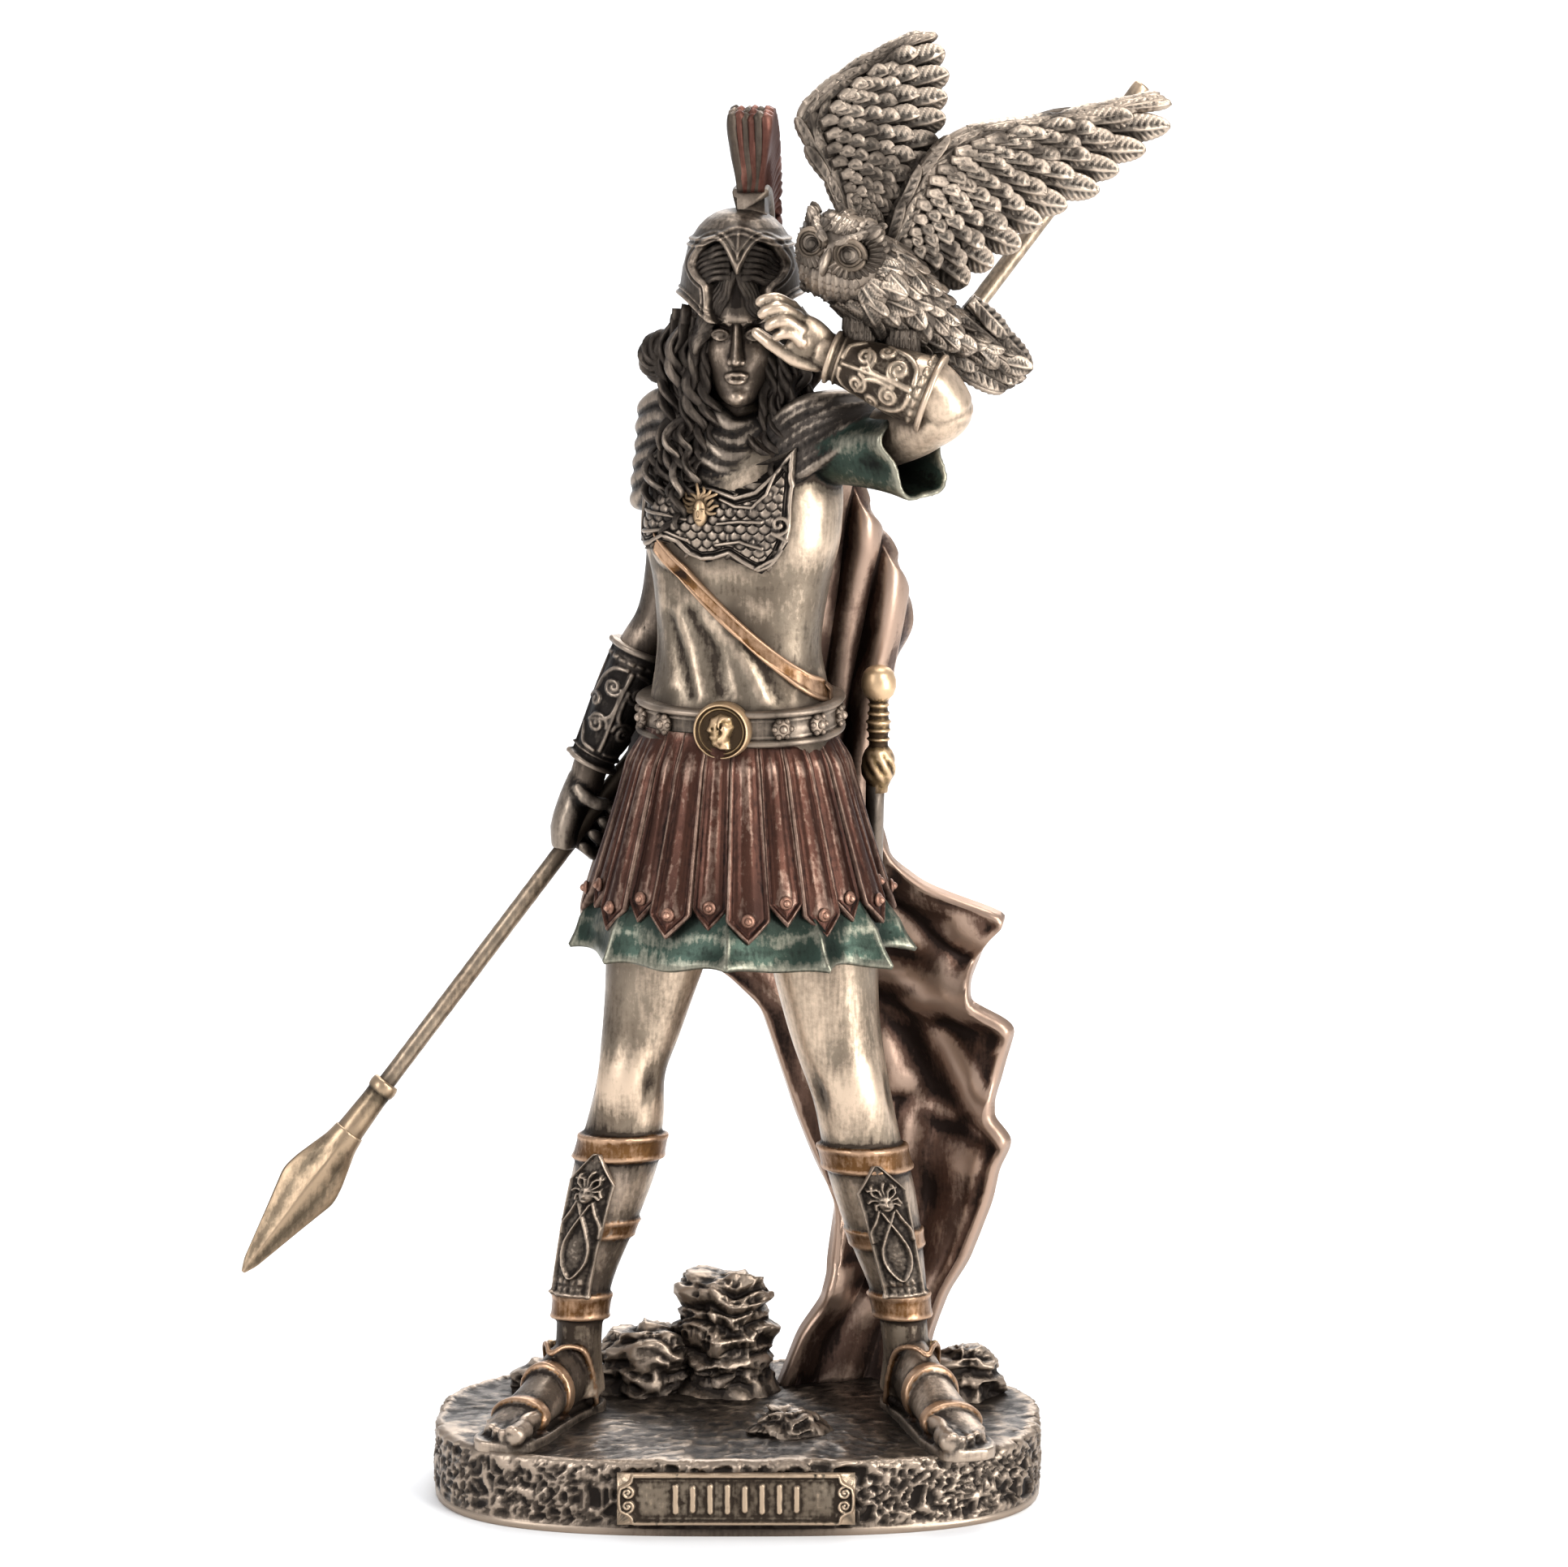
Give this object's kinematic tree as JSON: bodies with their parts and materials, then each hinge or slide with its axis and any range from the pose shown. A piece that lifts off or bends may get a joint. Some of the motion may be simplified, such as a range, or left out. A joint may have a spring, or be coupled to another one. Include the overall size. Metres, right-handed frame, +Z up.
{
  "type": "athena statue",
  "caption": "Cold-cast bronze figurine of a helmeted goddess shading her eyes, with an owl on her forearm and a spear behind her back, on a rocky base.",
  "frame": {"origin": "centre of the plinth's flat underside", "axes": "+Z up, the figure faces -Y, +X is towards her left hand"},
  "size_m": [0.1856, 0.0849, 0.2931],
  "materials": {
    "bronze_resin": "dark cold-cast bronze with rubbed tan highlights and thin coloured washes",
    "pale_bronze": "lighter brushed bronze"
  },
  "bodies": {
    "root": {"statue": "bronze_resin", "owl": "bronze_resin", "spear_shaft": "pale_bronze", "spear_head": "pale_bronze", "name_plate": "pale_bronze"}
  },
  "joints": []
}
